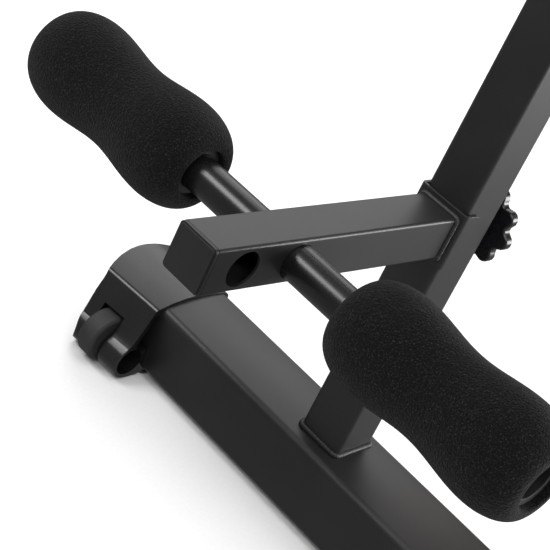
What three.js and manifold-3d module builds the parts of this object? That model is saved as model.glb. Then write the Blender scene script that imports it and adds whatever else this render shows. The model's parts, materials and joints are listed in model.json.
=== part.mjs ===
// Decline sit up bench: two stabilizers, a leaning front post with an ankle-roller bar clamped to it, a
// sloping main beam with a padded board, and knee rollers at the post's top.
// Millimetres. +X runs to the head end, +Y is the user's left, +Z is up, and the floor is z = 0.
import * as THREE from 'three';
import { mergeVertices } from 'three/addons/utils/BufferGeometryUtils.js';
import Module from 'manifold-3d';

const wasm = await Module();
wasm.setup();

// ---------- driving dimensions ----------
const GAP = 0.3;                 // clearance between pieces that touch
const ROUND = 36;                // facets around a visible round
const BORE = 12;                 // facets around a bolt and its hole
const BEND = 3;                  // half the facets of a small bend
const WALL = 2;                  // wall of every steel tube

const postLean = 5;              // degrees, top towards the head end
const postSide = 45;             // front post and main beam, square
const postCorner = 5;
const postLength = 612;

const footWidth = 80;            // both stabilizers, across X
const footHeight = 73;
const footLift = 7;              // tube's underside above the floor
const footArch = 3;              // rise of the top over its edges
const footCorner = 8;
const frontFootHalf = 211;       // tube only, without its caps
const rearFootHalf = 170;

const capWall = 3.2;             // cap's skin over the tube
const capRim = 20;               // how far the cap reaches back over the tube
const capReach = 48;             // how far its corners stand past the tube's end
const capBow = 12;               // how far its middle stands past its corners
const capFloor = 2.6;            // underside of the cap above the floor
const flankOut = 9;              // front cap's flank outside the tube, at its rim
const flankFlare = [6, 9, 5];    // how much further out it runs at the cap's corner: top, middle, foot

const wheelRadius = 24.5;
const wheelWidth = 21;
const wheelOut = 62.5;           // wheel's axis in front of the stabilizer's middle
const wheelFromTube = 15;        // wheel's middle past the tube's end
const axleRadius = 4;

const barSide = 38;              // ankle bar, square
const barCorner = 2.6;
const barLength = 267;
const barRise = 220.5;           // bar's axis along the post, from the stabilizer's top
const holeFromPost = [183.2, 238.7]; // the two roller positions
const saddleWall = 3;
const saddleDepth = 18;
const saddleHeight = 50.4;

const tubeRadius = 14.5;         // ankle and knee roller tubes
const ankleTubeLength = 368;
const kneeTubeLength = 446;
const tubeShift = 80;            // ankle tube pushed towards the left
const rollerLength = 180;
const rollerRadius = 42;
const rollerWaist = 36.8;
const rollerBore = 20.6;
const coreInset = 6;             // roller core behind the foam's end
const ankleGap = [87, 80];       // roller's inner end from the middle, left and right
const kneeGap = 46;
const kneeRise = 577;            // knee tube along the post

const knobRadius = 35;
const knobLobes = 9;
const lobeRadius = 7.2;
const valleyRadius = 4.5;
const knobTurn = 25;             // degrees, a lobe's angle from the left
const knobNeck = 12;             // knob's seat to its star
const knobThick = 9.5;
const studRadius = 4.9;

const beamSlope = 20;            // degrees, down towards the head end
const beamLength = 1092;
const beamRise = 500;            // where the beam's axis meets the post's back
const beamClear = 1.4;           // beam's front plug to the post's back
const riserInset = 62;           // rear riser's middle before the beam's end
const gussetWall = 5;
const boltRadius = 4.9;

const padWidth = 280;
const padHeight = 50;
const padInset = 26;             // pad's ends inside the beam's ends
const boardInset = 6;
const boardHeight = 12;
const crossWidth = 40;           // cross tubes under the board
const crossHeight = 25;
const crossLength = 230;
const crossInset = [144, 186];   // cross tubes' middles inside the pad's front and rear ends
const boardBoltSpan = 160;

// ---------- materials ----------
const finish = (r, g, b, roughness, metalness = 0) =>
  new THREE.MeshStandardMaterial({ color: new THREE.Color(r, g, b), roughness, metalness });
const material = {
  steel: () => finish(0.05, 0.05, 0.053, 0.45, 0.2),
  zinc: () => finish(0.5, 0.5, 0.52, 0.35, 0.9),
  plastic: () => finish(0.02, 0.02, 0.022, 0.4),
  gloss: () => finish(0.015, 0.015, 0.016, 0.2),
  rubber: () => finish(0.04, 0.04, 0.04, 0.8),
  foam: () => finish(0.02, 0.02, 0.022, 1),
  vinyl: () => finish(0.03, 0.03, 0.03, 0.5),
  wood: () => finish(0.55, 0.4, 0.25, 0.8),
};

// ---------- solids ----------
const rad = THREE.MathUtils.degToRad;
const X = new THREE.Vector3(1, 0, 0);
const Y = new THREE.Vector3(0, 1, 0);
const Z = new THREE.Vector3(0, 0, 1);

function toSolid(geometry) {
  const g = geometry.clone();
  g.deleteAttribute('normal');
  g.deleteAttribute('uv');
  const merged = mergeVertices(g, 1e-4);
  return new wasm.Manifold(new wasm.Mesh({
    numProp: 3,
    vertProperties: new Float32Array(merged.attributes.position.array),
    triVerts: new Uint32Array(merged.index.array),
  }));
}

function toGeometry(solid) {
  const mesh = solid.getMesh();
  const g = new THREE.BufferGeometry();
  const n = mesh.vertProperties.length / mesh.numProp;
  const p = new Float32Array(n * 3);
  for (let i = 0; i < n; i++) {
    for (let k = 0; k < 3; k++) p[i * 3 + k] = mesh.vertProperties[i * mesh.numProp + k];
  }
  g.setAttribute('position', new THREE.BufferAttribute(p, 3));
  g.setIndex(new THREE.BufferAttribute(new Uint32Array(mesh.triVerts), 1));
  return g;
}

const cut = (solid, ...tools) => tools.reduce((s, t) => s.subtract(t), solid);
const join = (solid, ...more) => more.reduce((s, t) => s.add(t), solid);

// A frame with the given axes, as a matrix.
function axes(ex, ez, origin) {
  const x = ex.clone().normalize();
  const z = ez.clone().normalize();
  const y = new THREE.Vector3().crossVectors(z, x);
  return new THREE.Matrix4().makeBasis(x, y, z).setPosition(origin);
}

// An outline pushed along an axis, from `from` to `to`. The outline lies in (Y, Z), (X, Z) or (X, Y) when
// the axis is X, Y or Z.
function push(shape, axis, from, to, curveSegments = 10, edge = 0) {
  const g = new THREE.ExtrudeGeometry(shape, {
    depth: to - from - 2 * edge, curveSegments, steps: 1,
    bevelEnabled: edge > 0, bevelThickness: edge, bevelSize: edge, bevelOffset: -edge, bevelSegments: 2,
  });
  g.translate(0, 0, edge);
  const basis = new THREE.Matrix4();
  if (axis === 'X') basis.makeBasis(Y, Z, X).setPosition(from, 0, 0);
  if (axis === 'Y') basis.makeBasis(X, Z, Y.clone().negate()).setPosition(0, to, 0);
  if (axis === 'Z') basis.makeBasis(X, Y, Z).setPosition(0, 0, from);
  g.applyMatrix4(basis);
  return toSolid(g);
}

// A solid along Y whose outline changes from one shape to another with as many points.
function blended(first, last, from, to, curveSegments) {
  const [near, far] = [first, last].map((shape) => shape.getPoints(curveSegments));
  if (near[0].distanceTo(near.at(-1)) < 1e-6) [near, far].forEach((ring) => ring.pop());
  const n = near.length;
  const position = [near, far].flatMap((ring, i) => ring.flatMap((p) => [p.x, [from, to][i], p.y]));
  const index = [];
  for (const [a, b, c] of THREE.ShapeUtils.triangulateShape(near, [])) index.push(a, b, c);
  for (const [a, b, c] of THREE.ShapeUtils.triangulateShape(far, [])) index.push(n + a, n + c, n + b);
  for (let i = 0; i < n; i++) {
    const j = (i + 1) % n;
    index.push(i, n + j, j, i, n + i, n + j);
  }
  const g = new THREE.BufferGeometry();
  g.setAttribute('position', new THREE.Float32BufferAttribute(position, 3));
  g.setIndex(index);
  return toSolid(g);
}

function roundedRect(w, h, r, cx = 0, cy = 0, target = new THREE.Shape()) {
  const [x0, x1, y0, y1] = [cx - w / 2, cx + w / 2, cy - h / 2, cy + h / 2];
  target.moveTo(x0 + r, y0);
  target.lineTo(x1 - r, y0);
  target.absarc(x1 - r, y0 + r, r, -Math.PI / 2, 0, false);
  target.lineTo(x1, y1 - r);
  target.absarc(x1 - r, y1 - r, r, 0, Math.PI / 2, false);
  target.lineTo(x0 + r, y1);
  target.absarc(x0 + r, y1 - r, r, Math.PI / 2, Math.PI, false);
  target.lineTo(x0, y0 + r);
  target.absarc(x0 + r, y0 + r, r, Math.PI, 1.5 * Math.PI, false);
  return target;
}

function circle(r, cx = 0, cy = 0, target = new THREE.Shape()) {
  target.absarc(cx, cy, r, 0, 2 * Math.PI, false);
  return target;
}

// A convex outline grown by r, with round corners. Points run counter-clockwise.
function grown(points, r) {
  const shape = new THREE.Shape();
  const n = points.length;
  const normal = (i) => {
    const [a, b] = [points[i % n], points[(i + 1) % n]];
    return Math.atan2(-(b[0] - a[0]), b[1] - a[1]);
  };
  for (let i = 0; i < n; i++) {
    const a0 = normal(i + n - 1);
    let a1 = normal(i);
    while (a1 < a0) a1 += 2 * Math.PI;
    if (i === 0) shape.moveTo(points[0][0] + r * Math.cos(a0), points[0][1] + r * Math.sin(a0));
    shape.absarc(points[i][0], points[i][1], r, a0, a1, false);
  }
  return shape;
}

function squareTube(side, corner, axis, from, to) {
  const shape = roundedRect(side, side, corner);
  shape.holes.push(roundedRect(side - 2 * WALL, side - 2 * WALL, corner - 1.5, 0, 0, new THREE.Path()));
  return push(shape, axis, from, to, BEND);
}

// A cylinder along an axis, through the point (u, v) of the outline plane.
const rod = (r, axis, from, to, u = 0, v = 0, facets = ROUND) =>
  push(circle(r, u, v), axis, from, to, facets / 2);

// A turned solid about +Y. The profile is a list of [radius, y].
function turned(profile, segments = ROUND) {
  return toSolid(new THREE.LatheGeometry(profile.map(([r, y]) => new THREE.Vector2(r, y)), segments));
}

const group = new THREE.Group();
group.name = 'decline_sit_up_bench';

function add(name, solid, kind, matrix = new THREE.Matrix4()) {
  const geometry = toGeometry(solid);
  geometry.applyMatrix4(matrix);
  geometry.computeVertexNormals();
  const mesh = new THREE.Mesh(geometry, material[kind]());
  mesh.name = name;
  group.add(mesh);
}

// Adds the left piece as built and the right one as its mirror image in Y.
function addPair(name, solid, kind, matrix) {
  add(`${name}_left`, solid, kind, matrix);
  add(`${name}_right`, solid.mirror([0, 1, 0]), kind, matrix);
}

// ---------- places ----------
const footTop = footLift + footHeight;
const postHalf = postSide / 2;
const plugLid = [3, 1.4];        // an end plug's lid, in two steps
const beamGap = postHalf * Math.sin(rad(beamSlope - postLean)) + plugLid[0] + plugLid[1] + 2 * GAP
  + beamClear;
const riserAlong = beamLength - riserInset;
const padLength = beamLength - 2 * padInset;
const crossAlong = [padInset + crossInset[0], padInset + padLength - crossInset[1]];
const rearX = () => {
  const start = beamStart();
  return start.x + riserAlong * Math.cos(rad(beamSlope));
};
function postPoint(along, behind = 0) {
  const [s, c] = [Math.sin(rad(postLean)), Math.cos(rad(postLean))];
  return new THREE.Vector3(along * s + behind * c, 0, footTop + along * c - behind * s);
}
function beamStart() {
  return postPoint(beamRise, postHalf + beamGap);
}
const postX = new THREE.Vector3(Math.cos(rad(postLean)), 0, -Math.sin(rad(postLean)));
const postZ = new THREE.Vector3(Math.sin(rad(postLean)), 0, Math.cos(rad(postLean)));
const beamX = new THREE.Vector3(Math.cos(rad(beamSlope)), 0, -Math.sin(rad(beamSlope)));
const beamZ = new THREE.Vector3(Math.sin(rad(beamSlope)), 0, Math.cos(rad(beamSlope)));

// Whole bench moved so that its middle stands over the origin.
const frontEnd = -(barLength + 8) * Math.cos(rad(postLean)) + postPoint(barRise, -postSide / 2).x;
const rearEnd = beamStart().x + beamLength * Math.cos(rad(beamSlope)) + 14;
const shift = new THREE.Vector3(-(frontEnd + rearEnd) / 2, 0, 0);

const inFloor = new THREE.Matrix4().setPosition(shift);
const inPost = axes(postX, postZ, postPoint(0).add(shift));
const inBar = axes(postX, postZ, postPoint(barRise, -postSide / 2).add(shift));
const inBeam = axes(beamX, beamZ, beamStart().add(shift));
const inRear = new THREE.Matrix4().setPosition(shift.clone().add(new THREE.Vector3(rearX(), 0, 0)));

// ---------- stabilizers ----------
// A loaf-shaped outline: flat underside, upright sides, soft corners and a slightly arched top.
function loaf(grow, bottom, target = new THREE.Shape(), corner = footCorner, arch = footArch) {
  const w = footWidth / 2 + grow;
  const top = footTop + grow;
  const r = Math.max(corner + grow, 2);
  const rb = 5;
  const edge = top - arch - r;
  const slope = Math.atan(2 * arch / (w - r));
  const end = [w - r + r * Math.sin(slope), edge + r * Math.cos(slope)];
  target.moveTo(-w + rb, bottom);
  target.lineTo(w - rb, bottom);
  target.absarc(w - rb, bottom + rb, rb, -Math.PI / 2, 0, false);
  target.lineTo(w, edge);
  target.absarc(w - r, edge, r, 0, Math.PI / 2 - slope, false);
  target.quadraticCurveTo(0, 2 * top - end[1], -end[0], end[1]);
  target.absarc(-w + r, edge, r, Math.PI / 2 + slope, Math.PI, false);
  target.lineTo(-w, bottom + rb);
  target.absarc(-w + rb, bottom + rb, rb, Math.PI, 1.5 * Math.PI, false);
  return target;
}

function footTube(half) {
  const shape = loaf(0, footLift);
  shape.holes.push(loaf(-WALL, footLift + WALL, new THREE.Path()));
  return push(shape, 'Y', -half, half, 5);
}

// A block whose outer end is bowed in plan, which trims a cap of that reach.
function bowedBlock(from, corner) {
  const shape = new THREE.Shape();
  const [front, back] = [-wheelOut - wheelRadius, footWidth / 2 + capWall + 2];
  const side = footWidth / 2 + capWall;
  shape.moveTo(front, from);
  shape.lineTo(back, from);
  shape.lineTo(back, corner - 5);
  shape.quadraticCurveTo(back - 1, corner, side - 4, corner + 1);
  shape.quadraticCurveTo(-8, corner + 2 * capBow, -side - 12, corner - 4);
  shape.lineTo(front + 16, corner - 7);
  shape.quadraticCurveTo(front + 8, corner - 9, front + 5, corner - 18);
  shape.lineTo(front, corner - 28);
  return push(shape, 'Z', -5, footTop + 20, 8);
}

// The front cap's outline: a loaf whose front flank runs out over a round housing for the wheel. It is
// wider by `flare` of the flank's full spread.
const bulbRadius = 18;
const bulbZ = 1.2 + bulbRadius;
const bulbOut = wheelOut - 5;    // housing's middle at the rim
function wheelCapOutline(flare) {
  const shape = new THREE.Shape();
  const [spreadTop, spreadMiddle, spreadFoot] = flankFlare.map((spread) => spread * flare);
  const back = footWidth / 2 + capWall + GAP;
  const front = footWidth / 2 + flankOut + spreadTop;
  const top = footTop + capWall;
  const rb = 5;
  const r = 7;
  const edge = top - 2 * footArch - r;
  const slope = Math.atan(4 * footArch / (back - r));
  const rise = [r * Math.sin(slope), edge + r * Math.cos(slope)];
  const lip = rad(125);
  const bulb = -bulbOut - spreadFoot;
  const onBulb = [bulb + bulbRadius * Math.cos(lip), bulbZ + bulbRadius * Math.sin(lip)];
  const middle = [-front - 9 - spreadMiddle + spreadTop, bulbZ + 29];
  shape.moveTo(bulb, bulbZ - bulbRadius);
  shape.lineTo(-footWidth / 2 - 4, bulbZ - bulbRadius);
  shape.lineTo(-footWidth / 2, capFloor);
  shape.lineTo(back - rb, capFloor);
  shape.absarc(back - rb, capFloor + rb, rb, -Math.PI / 2, 0, false);
  shape.lineTo(back, edge);
  shape.absarc(back - r, edge, r, 0, Math.PI / 2 - slope, false);
  shape.quadraticCurveTo(0, 2 * top - rise[1], -front + r - rise[0], rise[1]);
  shape.absarc(-front + r, edge, r, Math.PI / 2 + slope, Math.PI - rad(16), false);
  shape.lineTo(...middle);
  shape.quadraticCurveTo(middle[0] - 3, bulbZ + 20, ...onBulb);
  shape.absarc(bulb, bulbZ, bulbRadius, lip, 1.5 * Math.PI, false);
  return shape;
}

// The hollow behind the flank, open at the rim and into the housing's own hollow.
function flankHollow() {
  const [tube, top, foot] = [-footWidth / 2 + 1, footTop - 11, bulbZ + 11];
  const skin = capWall + 0.8;
  const flank = -footWidth / 2 - flankOut + skin;
  const shape = new THREE.Shape();
  shape.moveTo(tube, foot);
  shape.lineTo(tube, top);
  shape.lineTo(flank, top);
  shape.lineTo(flank - 8.5, bulbZ + 28);
  shape.lineTo(flank - 11.5, bulbZ + 17);
  shape.lineTo(flank - 8, foot);
  return shape;
}

const wheelZ = wheelRadius + 0.9;
const wheelY = frontFootHalf + wheelFromTube;
const slotHalf = wheelWidth / 2 + 2;
function frontCap() {
  const [from, corner] = [frontFootHalf - capRim, frontFootHalf + capReach];
  const end = corner + 2 * capBow;
  const body = blended(wheelCapOutline(0), wheelCapOutline((end - from) / (corner - from)), from, end, 6)
    .intersect(bowedBlock(from - 1, corner));
  const pocket = push(loaf(GAP, footLift - GAP), 'Y', from - 2, frontFootHalf + GAP, 4);
  const slot = rod(wheelRadius + 3, 'Y', wheelY - slotHalf, wheelY + slotHalf, -wheelOut, wheelZ);
  const hollow = rod(bulbRadius - 4, 'Y', from - 2, wheelY - slotHalf - 4.5, -bulbOut - 0.8, bulbZ, 24);
  const behind = push(flankHollow(), 'Y', from - 2, wheelY - slotHalf - 4.5);
  const axleHole = rod(axleRadius + GAP, 'Y', from, wheelY + slotHalf + 9, -wheelOut, wheelZ, BORE);
  return cut(body, pocket, slot, hollow, behind, axleHole);
}

function rearCap() {
  const [from, corner] = [rearFootHalf - capRim, rearFootHalf + capReach];
  const body = push(loaf(capWall, capFloor), 'Y', from, corner + 2 * capBow, 5)
    .intersect(bowedBlock(from - 1, corner));
  return cut(body, push(loaf(GAP, footLift - GAP), 'Y', from - 2, rearFootHalf + 12, 4));
}

function footPad(half) {
  return push(roundedRect(74, 62, 8, -3, half + 9), 'Z', 0, capFloor - GAP, 4);
}

add('front_stabilizer', footTube(frontFootHalf), 'steel', inFloor);
addPair('front_cap', frontCap(), 'plastic', inFloor);
addPair('front_foot', footPad(frontFootHalf), 'rubber', inFloor);
const wheelHalf = wheelWidth / 2;
const wheel = turned([
  [axleRadius + GAP, -wheelHalf], [wheelRadius - 2.5, -wheelHalf], [wheelRadius, 2.5 - wheelHalf],
  [wheelRadius, wheelHalf - 2.5], [wheelRadius - 2.5, wheelHalf], [axleRadius + GAP, wheelHalf],
  [axleRadius + GAP, -wheelHalf],
]).translate([-wheelOut, wheelY, wheelZ]);
addPair('wheel', wheel, 'rubber', inFloor);
const axle = rod(axleRadius, 'Y', wheelY - slotHalf - 6, wheelY + slotHalf + 8, -wheelOut, wheelZ, BORE);
addPair('wheel_axle', axle, 'zinc', inFloor);

add('rear_stabilizer', footTube(rearFootHalf), 'steel', inRear);
addPair('rear_cap', rearCap(), 'plastic', inRear);
addPair('rear_foot', footPad(rearFootHalf), 'rubber', inRear);

// ---------- front post ----------
const gussetOnPost = [barRise + 234, barRise + 303];
const boltHole = boltRadius + GAP;
const post = cut(
  squareTube(postSide, postCorner, 'Z', -10, postLength),
  rod(boltHole, 'X', -40, 40, 0, barRise, BORE),
  rod(tubeRadius + GAP, 'Y', -40, 40, 0, kneeRise),
  ...gussetOnPost.map((z) => rod(boltHole, 'Y', -40, 40, 0, z, BORE)),
).trimByPlane([-Math.sin(rad(postLean)), 0, Math.cos(rad(postLean))], GAP);
add('front_post', post, 'steel', inPost);

// A square plug for a tube's end: a stepped lid and a stem, along +Z with its seat at z = 0.
function endPlug(side, corner) {
  const stem = side - 2 * WALL - 2 * GAP;
  return join(
    push(roundedRect(side, side, corner), 'Z', 0, plugLid[0], BEND),
    push(roundedRect(side - 2.4, side - 2.4, corner - 1), 'Z', plugLid[0], plugLid[0] + plugLid[1], BEND),
    push(roundedRect(stem, stem, Math.max(corner - 1, 1.2)), 'Z', -14, 0, 2),
  );
}
const alongX = (x, sign = 1) => new THREE.Matrix4().makeBasis(Y, Z.clone().multiplyScalar(sign),
  X.clone().multiplyScalar(sign)).setPosition(x, 0, 0);
add('post_top_cap', endPlug(postSide, postCorner), 'plastic',
  inPost.clone().multiply(new THREE.Matrix4().setPosition(0, 0, postLength + GAP)));

// ---------- ankle bar and its clamp ----------
const barStart = -saddleWall - 2 * GAP;
const bar = cut(
  squareTube(barSide, barCorner, 'X', barStart - barLength, barStart),
  ...holeFromPost.map((x) => rod(tubeRadius + 0.4, 'Y', -barSide, barSide, -x, 0)),
);
add('ankle_bar', bar, 'steel', inBar);
add('ankle_bar_cap', endPlug(barSide, barCorner + 0.6), 'plastic',
  inBar.clone().multiply(alongX(barStart - barLength - GAP, -1)));

function saddle() {
  const [inner, outer] = [postHalf + GAP, postHalf + GAP + saddleWall];
  const [front, seat, back, bend] = [-GAP - saddleWall, -GAP, saddleDepth - saddleWall, 4];
  const shape = new THREE.Shape();
  shape.moveTo(back, outer);
  shape.lineTo(front + bend, outer);
  shape.absarc(front + bend, outer - bend, bend, Math.PI / 2, Math.PI, false);
  shape.lineTo(front, -outer + bend);
  shape.absarc(front + bend, -outer + bend, bend, Math.PI, 1.5 * Math.PI, false);
  shape.lineTo(back, -outer);
  shape.lineTo(back, -inner);
  shape.lineTo(seat, -inner);
  shape.lineTo(seat, inner);
  shape.lineTo(back, inner);
  const side = roundedRect(2 * saddleDepth + 8, saddleHeight, 5, back - saddleDepth - 4, 0);
  return push(shape, 'Z', -saddleHeight / 2, saddleHeight / 2, 5)
    .intersect(push(side, 'Y', -40, 40, 4))
    .subtract(rod(boltHole, 'X', -10, 10, 0, 0, BORE));
}
add('saddle_bracket', saddle(), 'steel', inBar);

const knobSeat = postSide + 2 * GAP + 1.6;
add('clamp_stud', join(
  rod(8.5, 'X', barStart - 4, barStart, 0, 0, 20),
  rod(studRadius, 'X', barStart - 0.1, knobSeat + 17, 0, 0, 20),
), 'zinc', inBar);
add('knob_washer', cut(rod(11, 'X', postSide + GAP, knobSeat - GAP, 0, 0, 24),
  rod(boltHole, 'X', 0, 80, 0, 0, BORE)), 'zinc', inBar);

// The star's outline: round lobes joined by round valleys that run smoothly into them.
function starOutline() {
  const star = new THREE.Shape();
  const step = Math.PI / knobLobes;
  const lobeAt = knobRadius - lobeRadius;
  const valleyAt = lobeAt * Math.cos(step)
    + Math.sqrt((lobeRadius + valleyRadius) ** 2 - (lobeAt * Math.sin(step)) ** 2);
  const meet = Math.atan2(valleyAt * Math.sin(step), valleyAt * Math.cos(step) - lobeAt);
  for (let i = 0; i < knobLobes; i++) {
    const a = rad(knobTurn) + 2 * i * step;
    const b = a + step;
    star.absarc(lobeAt * Math.cos(a), lobeAt * Math.sin(a), lobeRadius, a - meet, a + meet, false);
    star.absarc(valleyAt * Math.cos(b), valleyAt * Math.sin(b), valleyRadius,
      a + meet + Math.PI, b + step - meet - Math.PI, true);
  }
  return star;
}

function starKnob() {
  const back = knobSeat + knobNeck + knobThick;
  return cut(
    join(push(starOutline(), 'X', knobSeat + knobNeck, back, 3, 1.6),
      rod(13, 'X', knobSeat, knobSeat + knobNeck + 2, 0, 0, 32), rod(9, 'X', back - 2, back + 1.8, 0, 0, 24)),
    rod(boltHole, 'X', knobSeat - 5, knobSeat + 18.5, 0, 0, BORE),
  );
}
add('star_knob', starKnob(), 'gloss', inBar);

// ---------- rollers ----------
// Foam roller about +Y from y = 0: round ends, two lobes and a waist.
function foamRoller() {
  const lobe = 36;
  const face = 24;
  const half = [];
  for (const t of [0, 0.18, 0.42, 0.68]) {
    const y = lobe * t;
    half.push([face + (rollerRadius - face) * Math.sqrt(1 - ((lobe - y) / lobe) ** 2), y]);
  }
  for (let i = 0; i <= 3; i++) {
    const y = lobe + (rollerLength / 2 - lobe) * i / 4;
    const wave = 0.5 + 0.5 * Math.cos(Math.PI * i / 4);
    half.push([rollerWaist + (rollerRadius - rollerWaist) * wave, y]);
  }
  const mirrored = half.slice().reverse().map(([r, y]) => [r, rollerLength - y]);
  const bore = rollerBore;
  const waist = [rollerWaist, rollerLength / 2];
  return turned([[bore, 0], ...half, waist, ...mirrored, [bore, rollerLength], [bore, 0]], 24);
}
function rollerCore() {
  const [inner, outer] = [tubeRadius + GAP, rollerBore - GAP];
  const [y0, y1] = [coreInset, rollerLength - coreInset];
  return turned([[inner, y0], [outer, y0], [outer, y1], [inner, y1], [inner, y0]], 24);
}
function rollerTube(length) {
  const h = length / 2;
  const [inner, outer] = [tubeRadius - WALL, tubeRadius];
  return turned([[inner, -h], [outer, -h], [outer, h], [inner, h], [inner, -h]]);
}
function tubePlug(length) {
  const r = tubeRadius;
  return turned([[0, -10], [r - WALL - GAP, -10], [r - WALL - GAP, 0], [r, 0], [r, 1.2], [r - 1.2, 2.6],
    [r * 0.62, 3.9], [0, 4.5]], 24).translate([0, length / 2 + GAP, 0]);
}
const flip = (gap) => new THREE.Matrix4().makeRotationZ(Math.PI).setPosition(0, -gap, 0);
const slid = (gap) => new THREE.Matrix4().setPosition(0, gap, 0);

const inAnkle = inBar.clone().multiply(new THREE.Matrix4().setPosition(-holeFromPost[0], 0, 0));
const inAnkleTube = inAnkle.clone().multiply(slid(tubeShift));
const inKnee = inPost.clone().multiply(new THREE.Matrix4().setPosition(0, 0, kneeRise));
add('ankle_tube', rollerTube(ankleTubeLength), 'steel', inAnkleTube);
addPair('ankle_plug', tubePlug(ankleTubeLength), 'plastic', inAnkleTube);
add('knee_tube', rollerTube(kneeTubeLength), 'steel', inKnee);
addPair('knee_plug', tubePlug(kneeTubeLength), 'plastic', inKnee);
for (const [name, place, gaps] of [['ankle', inAnkle, ankleGap], ['knee', inKnee, [kneeGap, kneeGap]]]) {
  for (const [side, matrix] of [['left', slid(gaps[0])], ['right', flip(gaps[1])]]) {
    const where = place.clone().multiply(matrix);
    add(`${name}_core_${side}`, rollerCore(), 'plastic', where);
    add(`${name}_roller_${side}`, foamRoller(), 'foam', where);
  }
}

// ---------- main beam and its joint to the post ----------
const boltOnBeam = [38, 100];
add('main_beam', cut(
  squareTube(postSide, postCorner, 'X', 0, beamLength),
  ...boltOnBeam.map((x) => rod(boltHole, 'Y', -40, 40, x, 0, BORE)),
), 'steel', inBeam);
const beamPlug = endPlug(postSide, postCorner);
add('beam_cap_front', beamPlug, 'plastic', inBeam.clone().multiply(alongX(-GAP, -1)));
add('beam_cap_rear', beamPlug, 'plastic', inBeam.clone().multiply(alongX(beamLength + GAP)));

// Bolt places as (x, z), with the post's first.
const onBeam = (x) => beamStart().addScaledVector(beamX, x);
const boltPoints = [...gussetOnPost.map((z) => postPoint(z)), ...boltOnBeam.map(onBeam)];
const boltPlaces = boltPoints.map((p) => [p.x, p.z]);
const gussetFace = postHalf + GAP;
const gusset = cut(
  push(grown([boltPlaces[0], boltPlaces[3], boltPlaces[1]], 20), 'Y', gussetFace, gussetFace + gussetWall, 6),
  ...boltPlaces.map(([x, z]) => rod(boltHole, 'Y', 0, 60, x, z, BORE)),
);
addPair('gusset', gusset, 'steel', inFloor);

function hexagon(acrossFlats) {
  const shape = new THREE.Shape();
  const r = acrossFlats / Math.sqrt(3);
  for (let i = 0; i < 6; i++) {
    const a = i * Math.PI / 3;
    shape[i ? 'lineTo' : 'moveTo'](r * Math.cos(a), r * Math.sin(a));
  }
  return shape;
}
const boltSeat = gussetFace + gussetWall + GAP;
boltPlaces.forEach(([x, z], i) => {
  const head = push(hexagon(17), 'Y', -boltSeat - 6.4, -boltSeat, 1);
  const bolt = join(head, rod(boltRadius, 'Y', -boltSeat - 0.1, boltSeat + 11, 0, 0, BORE));
  const nut = cut(push(hexagon(17), 'Y', boltSeat, boltSeat + 8, 1), rod(boltHole, 'Y', 0, 60, 0, 0, BORE));
  add(`frame_bolt_${i + 1}`, bolt.translate([x, 0, z]), 'zinc', inFloor);
  add(`frame_nut_${i + 1}`, nut.translate([x, 0, z]), 'zinc', inFloor);
});

// Riser from the rear stabilizer up to the beam's underside.
const underside = onBeam(riserAlong).z - (postHalf + GAP) / Math.cos(rad(beamSlope));
const riser = squareTube(postSide, postCorner, 'Z', footTop + GAP, underside + 30).trimByPlane(
  [-Math.sin(rad(beamSlope)), 0, -Math.cos(rad(beamSlope))],
  -underside * Math.cos(rad(beamSlope)),
);
add('rear_riser', riser, 'steel', inRear);

// ---------- board and pad ----------
const crossLow = postHalf + GAP;
const boardLow = crossLow + crossHeight + GAP;
const padLow = boardLow + boardHeight + GAP;
const boardBolts = crossAlong.flatMap((x) => [-1, 1].map((s) => [x, s * boardBoltSpan / 2]));
crossAlong.forEach((x, i) => {
  const middle = crossLow + crossHeight / 2;
  const shape = roundedRect(crossWidth, crossHeight, 3, x, middle);
  const inside = [crossWidth - 2 * WALL, crossHeight - 2 * WALL, 1.5];
  shape.holes.push(roundedRect(...inside, x, middle, new THREE.Path()));
  const holes = [-1, 1].map((s) => rod(4.2, 'Z', 0, 80, x, s * boardBoltSpan / 2, BORE));
  const tube = push(shape, 'Y', -crossLength / 2, crossLength / 2, 3);
  add(['cross_tube_front', 'cross_tube_rear'][i], cut(tube, ...holes), 'steel', inBeam);
});
const padMiddle = beamLength / 2;
const board = cut(
  push(roundedRect(padLength - 2 * boardInset, padWidth - 2 * boardInset, 26, padMiddle, 0), 'Z', boardLow,
    boardLow + boardHeight, 6),
  ...boardBolts.map(([x, y]) => rod(4.2, 'Z', boardLow - 1, boardLow + 9, x, y, BORE)),
);
add('board', board, 'wood', inBeam);
const padOutline = roundedRect(padLength, padWidth, 32, padMiddle, 0);
add('pad', push(padOutline, 'Z', padLow, padLow + padHeight, 6, 6), 'vinyl', inBeam);
boardBolts.forEach(([x, y], i) => {
  const bolt = join(rod(6.8, 'Z', crossLow - GAP - 4, crossLow - GAP, x, y, 20),
    rod(3.9, 'Z', crossLow - GAP - 0.1, boardLow + 8, x, y, BORE));
  add(`board_bolt_${i + 1}`, bolt, 'zinc', inBeam);
});

export default group;
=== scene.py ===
"""Looks for the decline sit up bench, laid out as an add-on. Metres, +X to the head end."""

import json
import math

import bmesh
import bpy
from bpy.props import FloatProperty, FloatVectorProperty, IntProperty, PointerProperty
from mathutils import Matrix, Vector
from mathutils.bvhtree import BVHTree
from mathutils.kdtree import KDTree


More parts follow.
